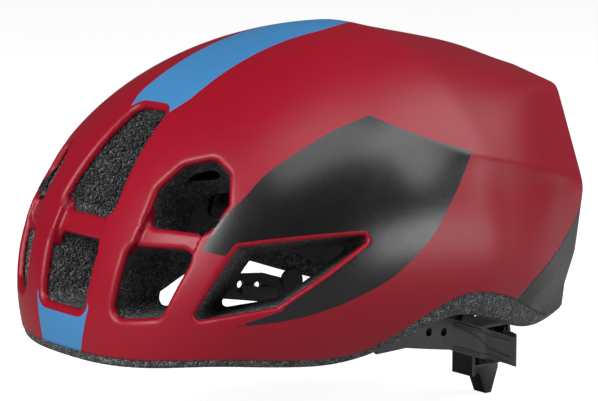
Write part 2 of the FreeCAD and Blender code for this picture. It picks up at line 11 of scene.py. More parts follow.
import bmesh
import bpy
import numpy as np
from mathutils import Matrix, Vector
from mathutils.bvhtree import BVHTree


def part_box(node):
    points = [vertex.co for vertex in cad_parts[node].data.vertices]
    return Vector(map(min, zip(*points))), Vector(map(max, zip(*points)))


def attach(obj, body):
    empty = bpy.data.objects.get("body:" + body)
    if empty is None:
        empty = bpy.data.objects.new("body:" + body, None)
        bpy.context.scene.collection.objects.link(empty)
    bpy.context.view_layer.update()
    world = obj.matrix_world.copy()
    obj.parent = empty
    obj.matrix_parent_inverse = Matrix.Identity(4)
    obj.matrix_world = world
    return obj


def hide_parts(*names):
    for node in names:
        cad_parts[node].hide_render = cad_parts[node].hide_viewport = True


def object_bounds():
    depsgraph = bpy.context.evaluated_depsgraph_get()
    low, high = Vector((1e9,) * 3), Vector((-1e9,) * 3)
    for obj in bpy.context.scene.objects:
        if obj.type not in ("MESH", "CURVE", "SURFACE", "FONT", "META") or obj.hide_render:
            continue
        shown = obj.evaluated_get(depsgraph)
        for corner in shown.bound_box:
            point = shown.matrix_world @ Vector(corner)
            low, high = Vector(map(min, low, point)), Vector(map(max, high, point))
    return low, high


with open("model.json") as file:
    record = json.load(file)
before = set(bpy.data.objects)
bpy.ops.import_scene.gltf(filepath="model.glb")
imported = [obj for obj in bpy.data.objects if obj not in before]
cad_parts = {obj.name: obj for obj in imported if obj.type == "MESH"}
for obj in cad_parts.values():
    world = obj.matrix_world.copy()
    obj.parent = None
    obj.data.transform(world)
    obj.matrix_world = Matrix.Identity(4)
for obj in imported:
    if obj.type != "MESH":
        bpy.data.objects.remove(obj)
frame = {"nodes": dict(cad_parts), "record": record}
CAD_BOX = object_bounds()
MM = 0.001
SHELL_LOW, SHELL_HIGH = (np.array(corner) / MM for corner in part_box("outer_shell"))
FLOOR_Z = CAD_BOX[0][2]

# ---- outer surface

STATION = 17.0           # where the shell is widest
EQUATOR = 11.5           # height of the longest section
WIDEST = 41.0            # height of the widest section
FRONT = STATION - SHELL_LOW[1]
REAR = 154.0             # how far the dome alone would reach behind STATION
RISE = SHELL_HIGH[2] - EQUATOR
HALF_WIDTH = 108.0
SIDE_RISE = SHELL_HIGH[2] - WIDEST
SQUARE_FRONT = 2.64      # powers of the level sections: 2 is round, more is squarer
SQUARE_REAR = 1.38
TAIL_FOOT = 121.0        # where the tail's flat face meets height 0
TAIL_LEAN = math.radians(6.5)
CENTRE = np.array([0.0, STATION, 40.0])

HEX_AXIS = 45.0          # height of the tail cone's axis
# each facet: its normal in the tail's face, its distance from the axis, its growth per millimetre forward
HEX_FACETS = [((0.217, 0.976), 64.4, 0.0044), ((0.877, 0.481), 56.0, 0.0111),
              ((0.9986, -0.0526), 56.6, 0.0111)]
HEX_SHARP = 60           # the power that rounds the edges between facets
DOME_TO_CONE = 35, 128   # stations between which the dome turns into the tail cone
TUCK_UNDER = 0.7         # how fast the sides draw in below the widest section
REAR_FULL = 6.6          # powers of the rear's side-view curve
REAR_DROP = 1 / 0.75
REAR_BLUNT = 4.0         # rounds the dome off where its front and rear halves meet


def smooth_step(low, high, value):
    """0 below low and 1 above high, with an easy rise between."""
    share = np.clip((value - low) / (high - low), 0, 1)
    return share * share * (3 - 2 * share)


def tail_plane(y, z):
    """Distance behind the tail's flat face."""
    return (y - TAIL_FOOT - z * math.tan(TAIL_LEAN)) * math.cos(TAIL_LEAN)


def shell_norm(x, y, z):
    """1 on the shell's outer surface and less inside it."""
    x = np.abs(x)
    level = np.clip(np.abs(z - EQUATOR) / RISE, 0, 0.9999)
    over = (z - WIDEST) / SIDE_RISE
    width = np.where(over > 0, HALF_WIDTH * np.sqrt(np.clip(1 - over ** 2, 1e-6, 1)),
                     HALF_WIDTH * np.clip(1 - TUCK_UNDER * (over * SIDE_RISE / 100) ** 2, 0.05, 1))
    front = FRONT * np.sqrt(1 - level ** 2)
    rear = REAR * (1 - level ** REAR_FULL) ** REAR_DROP
    ahead = STATION - y
    behind = np.clip(np.hypot(y - STATION, REAR_BLUNT) - REAR_BLUNT, 0, None)
    brow = ((x / width) ** SQUARE_FRONT + (np.abs(ahead) / front) ** SQUARE_FRONT) ** (1 / SQUARE_FRONT)
    back = ((x / width) ** SQUARE_REAR + (behind / rear) ** SQUARE_REAR) ** (1 / SQUARE_REAR)
    dome = np.where(ahead > 0, brow, back)
    facets = 0
    for (nx, nz), reach, growth in HEX_FACETS:
        grown = reach * np.clip(1 - growth * tail_plane(y, z), 0.3, None)
        facets = facets + np.clip((nx * x + nz * (z - HEX_AXIS)) / grown, 0, None) ** HEX_SHARP
    cone = facets ** (1 / HEX_SHARP)
    share = smooth_step(*DOME_TO_CONE, y)
    return dome * (1 - share) + cone * share


AZIMUTH_STEPS = 720
HEIGHT_STEPS = 480
FARTHEST = 210.0         # no part of the shell is further from CENTRE than this
HALVINGS = 26
EVENINGS = 3


def radius_map():
    """Distance from CENTRE to the outer surface over a grid of directions, and the slope correction."""
    turn = np.linspace(-math.pi, math.pi, AZIMUTH_STEPS + 1)
    lift = np.linspace(-math.pi / 2, math.pi / 2, HEIGHT_STEPS + 1)
    turn, lift = np.meshgrid(turn, lift, indexing="ij")
    way = np.stack([np.cos(lift) * np.sin(turn), -np.cos(lift) * np.cos(turn), np.sin(lift)], -1)
    near = np.zeros(turn.shape)
    top = (SHELL_HIGH[2] - CENTRE[2]) / np.clip(way[..., 2], 1e-3, None)
    far = np.where(way[..., 2] > 0, np.minimum(top, FARTHEST), FARTHEST)
    for _ in range(HALVINGS):
        middle = (near + far) / 2
        spot = CENTRE + way * middle[..., None]
        inside = shell_norm(spot[..., 0], spot[..., 1], spot[..., 2]) < 1
        near = np.where(inside, middle, near)
        far = np.where(inside, far, middle)
    radius = (near + far) / 2
    for _ in range(EVENINGS):
        radius[1:-1] = (radius[:-2] + 2 * radius[1:-1] + radius[2:]) / 4
        radius[:, 1:-1] = (radius[:, :-2] + 2 * radius[:, 1:-1] + radius[:, 2:]) / 4
    by_turn, by_lift = np.gradient(radius, turn[:, 0], lift[0])
    by_turn = by_turn / (radius * np.clip(np.cos(lift), 0.05, None))
    by_lift = by_lift / radius
    return radius, 1 / np.sqrt(1 + by_turn ** 2 + by_lift ** 2)


RADIUS, SLOPE = radius_map()

# side-view lines, as stations and heights
CREASE = [(-60, 106), (-29, 104.7), (-15, 99), (2.7, 91.6), (17, 86.2), (37, 81.3), (61, 75.8),
          (102, 65.8), (128, 60), (150, 55)]
TAIL_LINE = [(34, 8), (48, 17.2), (58, 22.5), (73.5, 27.1), (94.3, 32.1), (109.7, 38.1), (121, 44),
             (134, 51), (150, 60)]
TAIL_FOLD = [(40, 6), (59, 12.3), (71, 15.6), (86.5, 18.3), (100, 20.3), (112, 22.8), (134, 27), (150, 30)]


def along(line, y):
    """Height of a side-view line at a station."""
    stations, heights = zip(*line)
    return np.interp(y, stations, heights)


CREASE_SLOPE = 0.3       # how steeply the side draws in under the crease
CREASE_SWELL = 1.2       # how far it draws in above the crease
SWELL_REACH = 18
FOLD_SLOPE = 0.2         # how steeply it draws in below the fold, down to FOLD_REACH
FOLD_REACH = 16
# stations between which the crease and the fold set in, and between which the crease dies away
CREASE_IN = -28, 40
CREASE_OUT = 95, 130
FOLD_IN = 50, 80
RELIEF_IN = 14, 40       # how far from the middle they all set in


def softened(value, width=1.0):
    """The positive part of a value with its corner rounded off."""
    return (value + np.hypot(value, width)) / 2


def side_relief(x, y, z):
    """How far the sides draw in below the rear crease, above it, and below the tail's fold."""
    under = along(CREASE, y) - z
    strong = smooth_step(*CREASE_IN, y) * (1 - smooth_step(*CREASE_OUT, y))
    reach = np.interp(y, [20, 75, 128], [22, 10, 5])
    below = softened(under) / reach
    above = softened(-under) / SWELL_REACH
    relief = CREASE_SLOPE * strong * reach * below / (1 + below ** 3) ** (2 / 3)
    relief = relief + CREASE_SWELL * strong * above * np.exp(1 - above)
    fold = softened(along(TAIL_FOLD, y) - z)
    relief = relief + FOLD_SLOPE * np.clip(fold, 0, FOLD_REACH) * smooth_step(*FOLD_IN, y)
    return relief * smooth_step(*RELIEF_IN, np.abs(x))


def outer(x, y, z):
    """Distance outside the shell's outer surface, to first order."""
    dx, dy, dz = np.abs(x) - CENTRE[0], y - CENTRE[1], z - CENTRE[2]
    flat = np.hypot(dx, dy)
    reach = np.hypot(flat, dz)
    turn = (np.arctan2(dx, -dy) + math.pi) / (2 * math.pi) * AZIMUTH_STEPS
    lift = (np.arctan2(dz, flat) + math.pi / 2) / math.pi * HEIGHT_STEPS
    i = np.clip(turn.astype(int), 0, AZIMUTH_STEPS - 1)
    j = np.clip(lift.astype(int), 0, HEIGHT_STEPS - 1)
    u, v = turn - i, lift - j

    def read(table):
        low = table[i, j] * (1 - v) + table[i, j + 1] * v
        high = table[i + 1, j] * (1 - v) + table[i + 1, j + 1] * v
        return low * (1 - u) + high * u

    return (reach - read(RADIUS)) * read(SLOPE) + side_relief(x, y, z)


# ---- ducts

FOCUS = np.array([0.0, -10.0, 22.0])
TAIL_FOCUS = np.array([0.0, 20.0, 34.0])
DUCT_START = 0.35        # a duct starts at this share of the way from its focus to its mouth
OUT_OF_REACH = 60.0      # the distance stated where a hole does not reach


class Duct:
    """A hole through the wall whose sides all point at a focus, with rounded corners."""

    def __init__(self, corners, focus, radius):
        corners = np.array(corners, float)
        self.focus = focus
        self.radius = radius
        axis = corners.mean(0) - focus
        self.length = np.linalg.norm(axis)
        self.axis = axis / self.length
        self.across = np.cross(self.axis, [0.0, 0.0, 1.0])
        self.across /= np.linalg.norm(self.across)
        self.up = np.cross(self.across, self.axis)
        flat = self.flattened(corners)[0]
        nexts = np.roll(flat, -1, 0)
        edges = nexts - flat
        turning = np.sum(flat[:, 0] * nexts[:, 1] - nexts[:, 0] * flat[:, 1])
        normals = np.stack([edges[:, 1], -edges[:, 0]], 1) * np.sign(turning)
        self.normals = normals / np.linalg.norm(normals, axis=1)[:, None]
        self.reach = np.sum(self.normals * flat, 1) - radius
        sides = np.stack([np.roll(self.normals, 1, 0), self.normals], 1)
        reaches = np.stack([np.roll(self.reach, 1), self.reach], 1)
        self.corners = np.linalg.solve(sides, reaches[..., None])[..., 0]

    def flattened(self, spots):
        """Where each ray from the focus meets the duct's mouth plane, and its share of the way there."""
        ray = spots - self.focus
        share = ray @ self.axis / self.length
        safe = np.clip(share, 0.2, None)
        return np.stack([ray @ self.across / safe, ray @ self.up / safe], -1), share

    def __call__(self, x, y, z):
        """Distance outside the duct or its mirror image."""
        spots = np.stack([np.abs(x), y, z], -1)
        flat, share = self.flattened(spots)
        worst = (flat @ self.normals.T - self.reach).max(-1)
        nearest = np.full(share.shape, 1e9)
        for start, end in zip(self.corners, np.roll(self.corners, -1, 0)):
            run = end - start
            spot = np.clip((flat - start) @ run / (run @ run), 0, 1)
            nearest = np.minimum(nearest, np.linalg.norm(flat - start - spot[..., None] * run, axis=-1))
        away = np.where(worst > 0, nearest, worst) - self.radius
        return np.where(share > DUCT_START, away * np.clip(share, 0.2, 1.3), OUT_OF_REACH)


BROW_DUCTS = {
    "centre_upper": Duct([(-12, -88, 106.5), (12, -88, 106.5), (21, -124, 61.5), (-21, -124, 61.5)],
                         FOCUS, 6),
    "centre_lower": Duct([(-19.5, -130, 52), (19.5, -130, 52), (17, -137, 21), (-17, -137, 21)], FOCUS, 5),
    "side_upper": Duct([(40, -118.5, 59.5), (39.2, -113, 76), (45, -103, 86.5), (56, -94.5, 90),
                        (65, -93, 84), (71, -98, 71.5), (68.5, -107.5, 59.5)], FOCUS, 4),
    "side_lower": Duct([(37, -127, 52), (67.5, -112, 52.5), (58.5, -126, 23), (34.5, -135, 20)], FOCUS, 5),
    "flank": Duct([(79, -99, 54), (104, -42, 57.5), (98.5, -66, 42), (90, -87, 28), (68, -117, 22)],
                  FOCUS, 2),
}
TAIL_DUCTS = {
    "high": Duct([(9, 131, 96), (24, 131, 93), (33, 127, 66), (9, 127, 62)], TAIL_FOCUS, 4),
    "low": Duct([(9, 126, 52), (34, 126, 54), (33, 123, 26), (9, 123, 22)], TAIL_FOCUS, 4),
}
BAR_TROUGHS = [
    Duct([(-17.5, -122, 66), (17.5, -122, 66), (18.5, -131, 48), (-18.5, -131, 48)], FOCUS, 3),
    Duct([(41, -120, 66), (68, -106, 66), (65, -114, 48), (39, -127, 48)], FOCUS, 3),
]
BAR_RECESS = 3.2         # how far the cross bars lie below the shell round them
LIP_ROUND = {"centre_upper": 2.4, "centre_lower": 2.4, "side_upper": 2.4, "side_lower": 2.4, "flank": 1.4}
PORT_ROUND = 2.0
BAR_ROUND = 1.2
TAIL_ROUND = 1.3
RIM_ROUND = 2.6
CAVITY_ROUND = 2.0
PORTS_FROM = 30          # the tail's ports are all behind this station

# ---- liner

CAVITY_AT = np.array([0.0, -2.0, 12.0])
CAVITY_HALF = np.array([77.0, 106.0, 95.0])
# the lower edges of the paint and of the foam, in side view
SHELL_RIM = [(-170, 2), (-132, 3), (-108, 6), (-80, 3.5), (-55, 1.5), (-36, 5), (-16, 18), (8, 27),
             (36, 21), (66, 8), (94, -2), (122, -3), (150, -3)]
LINER_RIM = [(-170, -3), (-132, -2), (-108, 1.5), (-80, -1), (-55, -3), (-36, 0), (-18, 8), (4, 16),
             (30, 10), (56, 0), (80, -6), (108, -6), (150, -4)]
CHANNELS = [(0.0, 96.0), (38.0, 86.0)]    # how far to the side and how high each one runs
CHANNEL_ROUND = 9.0
CHANNEL_DEPTH = 13.0     # the foam left outside the inner channels
POCKET_HALF_WIDE = 9.5   # the pocket in the foam for the cradle's mast
POCKET_AT = 101
POCKET_HALF_DEEP = 9
POCKET_TOP = 62


def smoothed(line, blur=9.0, margin=30):
    """A side-view line resampled each millimetre with its corners rounded off."""
    stations = np.arange(-170.0, 151.0)
    heights = along(line, stations)
    weights = np.exp(-0.5 * (np.arange(-margin, margin + 1) / blur) ** 2)
    heights = np.convolve(np.pad(heights, margin, mode="edge"), weights / weights.sum(), mode="valid")
    return list(zip(stations, heights))


SHELL_EDGE = smoothed(SHELL_RIM)
LINER_EDGE = smoothed(LINER_RIM)


def cavity(x, y, z):
    """Distance outside the head space."""
    spot = np.stack([x - CAVITY_AT[0], y - CAVITY_AT[1], np.clip(z - CAVITY_AT[2], 0, None)], -1)
    norm = np.linalg.norm(spot / CAVITY_HALF, axis=-1)
    slope = np.linalg.norm(spot / CAVITY_HALF ** 2, axis=-1)
    return (norm - 1) * norm / np.clip(slope, 1e-6, None)


def round_cut(solid, tool, radius):
    """The solid's distance with the tool taken away and the edge rounded."""
    a, b = solid, -tool
    bulge = np.hypot(np.clip(a + radius, 0, None), np.clip(b + radius, 0, None))
    return np.minimum(np.maximum(a, b), -radius) + bulge


def skin(x, y, z):
    """Distance outside the shell with its tail face and the troughs of its cross bars."""
    surface = outer(x, y, z)
    for trough in BAR_TROUGHS:
        inside = np.minimum(-trough(x, y, z), surface + BAR_RECESS)
        surface = round_cut(surface, -inside, BAR_ROUND)
    return round_cut(surface, -tail_plane(y, z), TAIL_ROUND)


def body(x, y, z):
    """Distance outside the shell and liner taken as one solid."""
    cover = skin(x, y, z)
    solid = cover
    for name, duct in BROW_DUCTS.items():
        solid = round_cut(solid, duct(x, y, z), LIP_ROUND[name])
    for duct in TAIL_DUCTS.values():
        solid = round_cut(solid, np.where(y > PORTS_FROM, duct(x, y, z), OUT_OF_REACH), PORT_ROUND)
    solid = round_cut(solid, z - along(LINER_EDGE, y), RIM_ROUND)
    solid = round_cut(solid, cavity(x, y, z), CAVITY_ROUND)
    for side, height in CHANNELS:
        channel = np.hypot(np.abs(x) - side, z - height) - CHANNEL_ROUND
        solid = round_cut(solid, np.maximum(channel, cover + CHANNEL_DEPTH), 1.5)
    pocket = np.maximum(np.abs(x) - POCKET_HALF_WIDE, np.abs(y - POCKET_AT) - POCKET_HALF_DEEP)
    return round_cut(solid, np.maximum(pocket, z - POCKET_TOP), 1.0)


def meshed(field, low, high, step):
    """Vertices and quads of a field's zero surface (surface nets), symmetric about x = 0."""
    counts = [int(math.ceil((b - a) / step)) for a, b in zip(low, high)]
    counts[0] += counts[0] % 2
    start = np.array([-(counts[0] - 1) / 2 * step, low[1], low[2]])
    ys = start[1] + step * np.arange(counts[1])
    zs = start[2] + step * np.arange(counts[2])
    grid_y, grid_z = np.meshgrid(ys, zs, indexing="ij")
    values = np.empty(counts, np.float32)
    half = counts[0] // 2
    for slab in range(half):
        across = step * (slab + 0.5)
        values[half + slab] = field(np.full(grid_y.shape, across), grid_y, grid_z)
        values[half - 1 - slab] = values[half + slab]
    solid = values < 0
    corners = [(i, j, k) for i in (0, 1) for j in (0, 1) for k in (0, 1)]

    def shifted(array, corner):
        return array[tuple(slice(c, size - 1 + c) for c, size in zip(corner, array.shape))]

    full = sum(shifted(solid, corner).astype(np.int8) for corner in corners)
    cells = np.argwhere((full > 0) & (full < 8))
    index = np.full(full.shape, -1, np.int32)
    index[tuple(cells.T)] = np.arange(len(cells))
    at = np.stack([values[tuple((cells + corner).T)] for corner in corners], 1)
    total = np.zeros((len(cells), 3))
    hits = np.zeros(len(cells))
    for a, corner_a in enumerate(corners):
        for b, corner_b in enumerate(corners):
            run = np.subtract(corner_b, corner_a)
            if b < a or np.abs(run).sum() != 1:
                continue
            crossing = (at[:, a] < 0) != (at[:, b] < 0)
            share = at[crossing, a] / (at[crossing, a] - at[crossing, b])
            total[crossing] += np.array(corner_a) + share[:, None] * run
            hits[crossing] += 1
    points = start + step * (cells + total / hits[:, None])
    quads = []
    for axis in range(3):
        u, v = (axis + 1) % 3, (axis + 2) % 3
        first = [slice(None)] * 3
        second = [slice(None)] * 3
        first[axis] = slice(0, -1)
        second[axis] = slice(1, None)
        inside = solid[tuple(first)]
        edges = np.argwhere(inside != solid[tuple(second)])
        clear = (edges[:, u] > 0) & (edges[:, v] > 0)
        clear &= (edges[:, u] < counts[u] - 1) & (edges[:, v] < counts[v] - 1)
        edges = edges[clear]
        outward = inside[tuple(edges.T)]
        around = []
        for du, dv in ((-1, -1), (0, -1), (0, 0), (-1, 0)):
            cell = edges.copy()
            cell[:, u] += du
            cell[:, v] += dv
            around.append(index[tuple(cell.T)])
        quad = np.stack(around, 1)
        quads.append(np.where(outward[:, None], quad, quad[:, ::-1]))
    return points, np.concatenate(quads)


def gradient(field, points, reach=0.05):
    """A field's values at the points and its slope there."""
    value = field(*points.T)
    slope = np.empty_like(points)
    for axis in range(3):
        moved = points.copy()
        moved[:, axis] += reach
        slope[:, axis] = (field(*moved.T) - value) / reach
    return value, slope


EVENING = 0.6            # how far each point moves towards the mean of its neighbours
SNAP = 0.02              # no point lies nearer than this to a border that is to be cut


def settled(field, points, quads, rounds=2):
    """Points evened out over the surface and put exactly on it, with their outward normals."""
    links = np.concatenate([quads[:, [0, 1]], quads[:, [1, 2]], quads[:, [2, 3]], quads[:, [3, 0]]])
    starts = np.concatenate([links[:, 0], links[:, 1]])
    ends = np.concatenate([links[:, 1], links[:, 0]])
    weight = np.bincount(starts, minlength=len(points))
    for _ in range(rounds):
        mean = np.stack([np.bincount(starts, points[ends, axis], len(points)) for axis in range(3)], 1)
        points = (1 - EVENING) * points + EVENING * mean / weight[:, None]
        value, slope = gradient(field, points)
        strength = np.clip((slope ** 2).sum(1), 0.25, None)
        move = np.clip(value / strength, -1.0, 1.0)
        points = points - slope * move[:, None]
    value, slope = gradient(field, points)
    normals = slope / np.clip(np.linalg.norm(slope, axis=1), 0.2, None)[:, None]
    points = points - normals * np.clip(value, -0.6, 0.6)[:, None]
    return points, normals


def triangles(points, quads):
    """Each quad cut along its shorter diagonal."""
    one = np.linalg.norm(points[quads[:, 0]] - points[quads[:, 2]], axis=1)
    two = np.linalg.norm(points[quads[:, 1]] - points[quads[:, 3]], axis=1)
    pick = (one <= two)[:, None]
    first = np.where(pick, quads[:, [0, 1, 2]], quads[:, [0, 1, 3]])
    second = np.where(pick, quads[:, [0, 2, 3]], quads[:, [1, 2, 3]])
    return np.concatenate([first, second])


def split(columns, tris, which):
    """Cuts the triangles along the line where one column of vertex values changes sign."""
    value = columns[:, which]
    value = np.where(np.abs(value) < SNAP, np.where(value < 0, -SNAP, SNAP), value)
    columns[:, which] = value
    sign = value > 0
    edges = np.sort(np.concatenate([tris[:, [0, 1]], tris[:, [1, 2]], tris[:, [2, 0]]]), 1)
    crossing = sign[edges[:, 0]] != sign[edges[:, 1]]
    pairs, where = np.unique(edges[crossing], axis=0, return_inverse=True)
    one, two = columns[pairs[:, 0]], columns[pairs[:, 1]]
    share = value[pairs[:, 0]] / (value[pairs[:, 0]] - value[pairs[:, 1]])
    fresh = one + share[:, None] * (two - one)
    fresh[:, which] = 0
    middle = np.full(len(edges), -1)
    middle[crossing] = len(columns) + where.reshape(-1)
    middle = middle.reshape(3, -1)
    whole = (middle < 0).all(0)
    result = [tris[whole]]
    for lone in range(3):
        after, before = (lone + 1) % 3, (lone + 2) % 3
        cut = (middle[lone] >= 0) & (middle[before] >= 0) & (middle[after] < 0)
        a, b, c = tris[cut, lone], tris[cut, after], tris[cut, before]
        ab, ca = middle[lone][cut], middle[before][cut]
        result += [np.stack([a, ab, ca], 1), np.stack([ab, b, c], 1), np.stack([ab, c, ca], 1)]
    return np.concatenate([columns, fresh]), np.concatenate(result)


# ---- paint borders

# the black side panel in side view, clockwise from the flank vent
PANEL_UPPER = [(-110.5, 52.3), (-107, 58), (-102, 65), (-93, 73), (-80, 84), (-64, 92.5), (-46, 100),
               (-27, 105)]
PANEL_CREASE = [(-27, 105), (-15, 99), (0, 93), (19, 87)]
PANEL_LOWER = [(19, 87), (9, 74.5), (-1, 65), (-12, 54.5), (-24, 45), (-36, 37), (-49, 31.5), (-63, 26.5),
               (-80, 22.5), (-103, 20)]
PANEL_FRONT = [(-84, 27), (-86, 46), (-102, 50)]      # inside the flank vent, unseen
PANEL_INNER = 25         # the panels reach no nearer to the middle than this
PAINT_DEEP = 3.3         # how far the shell turns in at the vents
REAR_FACE_HALF = 43      # the black hexagon on the rear face
REAR_FACE_TOP = 101
REAR_FACE_SIDE = (0.872, 0.489)           # the direction its sloping sides face
REAR_FACE_REACH = 71.7   # how far that way they are from the middle at the height REAR_FACE_AT
REAR_FACE_AT = 60
TAIL_BLACK_FROM = 45     # the tail cover is all behind this station
STRIPE_HALF = 19.5
STRIPE_FROM = 90         # the stripe is above this height
PATCH_HALF = 14.6        # the blue patch at the brow: half its width at height 0, and how fast it widens
PATCH_FLARE = 0.27
PATCH_TOP = 27


def curved(points, pieces=6):
    """A smooth line through points (Catmull-Rom)."""
    points = np.array(points, float)
    padded = np.concatenate([[2 * points[0] - points[1]], points, [2 * points[-1] - points[-2]]])
    line = []
    for before, start, end, after in zip(padded, padded[1:], padded[2:], padded[3:]):
        for piece in range(pieces):
            t = piece / pieces
            line.append(0.5 * (2 * start + (end - before) * t
                               + (2 * before - 5 * start + 4 * end - after) * t ** 2
                               + (3 * start - before - 3 * end + after) * t ** 3))
    return np.array(line + [points[-1]])


def inside_outline(y, z, outline):
    """Signed distance to a closed side-view outline, positive inside."""
    nearest = np.full(y.shape, 1e9)
    odd = np.zeros(y.shape, bool)
    for (y0, z0), (y1, z1) in zip(outline, np.roll(outline, -1, 0)):
        dy, dz = y1 - y0, z1 - z0
        share = np.clip(((y - y0) * dy + (z - z0) * dz) / max(dy * dy + dz * dz, 1e-9), 0, 1)
        nearest = np.minimum(nearest, np.hypot(y - y0 - share * dy, z - z0 - share * dz))
        if dz != 0:
            odd ^= ((z0 > z) != (z1 > z)) & (y < y0 + dy * (z - z0) / dz)
    return np.where(odd, nearest, -nearest)


def borders(points):
    """Vertex values, positive inside: shell, tail cover, blue, black panel."""
    x, y, z = points.T
    across = np.abs(x)
    cover = skin(x, y, z)
    on_shell = np.minimum(cover + PAINT_DEEP, z - along(SHELL_EDGE, y))
    face = tail_plane(y, z)
    sloping = REAR_FACE_REACH - across * REAR_FACE_SIDE[0] - (z - REAR_FACE_AT) * REAR_FACE_SIDE[1]
    hexagon = np.minimum(np.minimum(REAR_FACE_HALF - across, REAR_FACE_TOP - z), sloping)
    tail = np.maximum(along(TAIL_LINE, y) - z, np.minimum(hexagon, 2 * (face + 2.0)))
    tail = np.where(y < TAIL_BLACK_FROM, -10.0, tail)
    narrowing = (1 - smooth_step(-12, 44, y)) ** 0.8 * (1 - 0.34 * smooth_step(78, 96, -y))
    upper = BROW_DUCTS["centre_upper"](x, y, z) - LIP_ROUND["centre_upper"]
    stripe = np.minimum(np.minimum(STRIPE_HALF * narrowing - across, z - STRIPE_FROM), upper - 0.6)
    lower = BROW_DUCTS["centre_lower"](x, y, z) - LIP_ROUND["centre_lower"]
    patch = np.minimum(PATCH_HALF + PATCH_FLARE * z - across, np.minimum(PATCH_TOP - z, z + 0.5))
    patch = np.minimum(np.minimum(patch, lower - 0.4), -90 - y)
    blue = np.maximum(stripe, patch)
    outline = np.concatenate([curved(PANEL_UPPER)[:-1], curved(PANEL_CREASE)[:-1], curved(PANEL_LOWER),
                              PANEL_FRONT])
    panel = inside_outline(y, z, outline)
    flank = BROW_DUCTS["flank"](x, y, z)
    panel = np.minimum(np.minimum(panel, across - PANEL_INNER), flank - LIP_ROUND["flank"] - 0.3)
    return np.stack([on_shell, tail, blue, panel], 1)


# ---- materials

def material(name):
    """A new material, its node tree and its shader."""
    made = bpy.data.materials.new(name)
    made.use_nodes = True
    tree = made.node_tree
    return made, tree, tree.nodes["Principled BSDF"]


def node(tree, kind, inputs=None, **settings):
    """A new shader node with its inputs and settings."""
    made = tree.nodes.new("ShaderNode" + kind)
    for key, value in settings.items():
        setattr(made, key, value)
    for key, value in (inputs or {}).items():
        made.inputs[key].default_value = value
    return made


def place(tree):
    """Coordinates in metres that stay with the piece."""
    return node(tree, "TexCoord").outputs["Object"]


def noise(tree, scale, detail=3.0, rough=0.5):
    """A noise pattern's value, with about this many features in a metre."""
    made = node(tree, "TexNoise", {"Scale": scale, "Detail": detail, "Roughness": rough})
    tree.links.new(place(tree), made.inputs["Vector"])
    return made.outputs["Fac"]


def ramp(tree, factor, stops):
    """A colour for each value, from places and colours along a ramp."""
    made = node(tree, "ValToRGB")
    line = made.color_ramp
    while len(line.elements) < len(stops):
        line.elements.new(0.5)
    for element, (spot, colour) in zip(line.elements, stops):
        element.position = spot
        element.color = (*colour, 1)
    tree.links.new(factor, made.inputs["Fac"])
    return made.outputs["Color"]


def spread(tree, factor, low, high, full=1.0):
    """A value from 0 to full, moved to the range from low to high."""
    made = node(tree, "MapRange", {"From Max": full, "To Min": low, "To Max": high})
    tree.links.new(factor, made.inputs["Value"])
    return made.outputs["Result"]


def bump(tree, shader, height, strength, distance):
    """Fine relief, as deep as the distance in metres."""
    made = node(tree, "Bump", {"Strength": strength, "Distance": distance})
    tree.links.new(height, made.inputs["Height"])
    tree.links.new(made.outputs["Normal"], shader.inputs["Normal"])


def tones(tone, dark, light):
    """A darker and a lighter version of a colour."""
    return tuple(channel * dark for channel in tone), tuple(channel * light for channel in tone)


def paint(name, dark, light, roughness, grain, specular):
    """Sprayed lacquer: a faint tone drift, orange peel and a satin or gloss surface."""
    made, tree, shader = material(name)
    tone = noise(tree, 9.0, 2.0)
    tree.links.new(ramp(tree, tone, [(0.35, dark), (0.65, light)]), shader.inputs["Base Color"])
    tree.links.new(spread(tree, noise(tree, 160.0), roughness - 0.03, roughness + 0.04),
                   shader.inputs["Roughness"])
    bump(tree, shader, noise(tree, 900.0, 2.0), grain, 0.00012)
    shader.inputs["Specular IOR Level"].default_value = specular
    return made


BEADS_A_METRE = 420.0


def foam_material():
    """Moulded bead foam: grey beads a few millimetres across with lighter flecks and sunken joints."""
    made, tree, shader = material("bead_foam")
    beads = node(tree, "TexVoronoi", {"Scale": BEADS_A_METRE}, feature="F1")
    joints = node(tree, "TexVoronoi", {"Scale": BEADS_A_METRE}, feature="DISTANCE_TO_EDGE")
    for cells in (beads, joints):
        tree.links.new(place(tree), cells.inputs["Vector"])
    flecks = noise(tree, 1500.0, 2.0, 0.6)
    base = ramp(tree, flecks, [(0.40, (0.022, 0.023, 0.024)), (0.56, (0.070, 0.073, 0.077)),
                               (0.68, (0.28, 0.285, 0.29))])
    tint = node(tree, "SeparateColor")
    tree.links.new(beads.outputs["Color"], tint.inputs["Color"])
    shade = spread(tree, tint.outputs["Red"], 0.55, 1.35)
    mixed = node(tree, "VectorMath", operation="SCALE")
    tree.links.new(base, mixed.inputs[0])
    tree.links.new(shade, mixed.inputs["Scale"])
    tree.links.new(mixed.outputs["Vector"], shader.inputs["Base Color"])
    tree.links.new(spread(tree, flecks, 0.9, 0.6), shader.inputs["Roughness"])
    bump(tree, shader, spread(tree, joints.outputs["Distance"], 0.0, 1.0, 0.35), 0.7, 0.0006)
    shader.inputs["Specular IOR Level"].default_value = 0.35
    return made


def plastic(name, tone, roughness, grain=0.25, scale=1400.0, metallic=0.0):
    """A moulded surface with a fine spark-eroded grain and a little wear in its sheen."""
    made, tree, shader = material(name)
    drift = noise(tree, 45.0)
    dark, light = tones(tone, 0.75, 1.3)
    tree.links.new(ramp(tree, drift, [(0.35, dark), (0.68, light)]), shader.inputs["Base Color"])
    tree.links.new(spread(tree, noise(tree, 220.0), roughness - 0.06, roughness + 0.08),
                   shader.inputs["Roughness"])
    bump(tree, shader, noise(tree, scale, 2.0), grain, 0.00015)
    shader.inputs["Metallic"].default_value = metallic
    return made


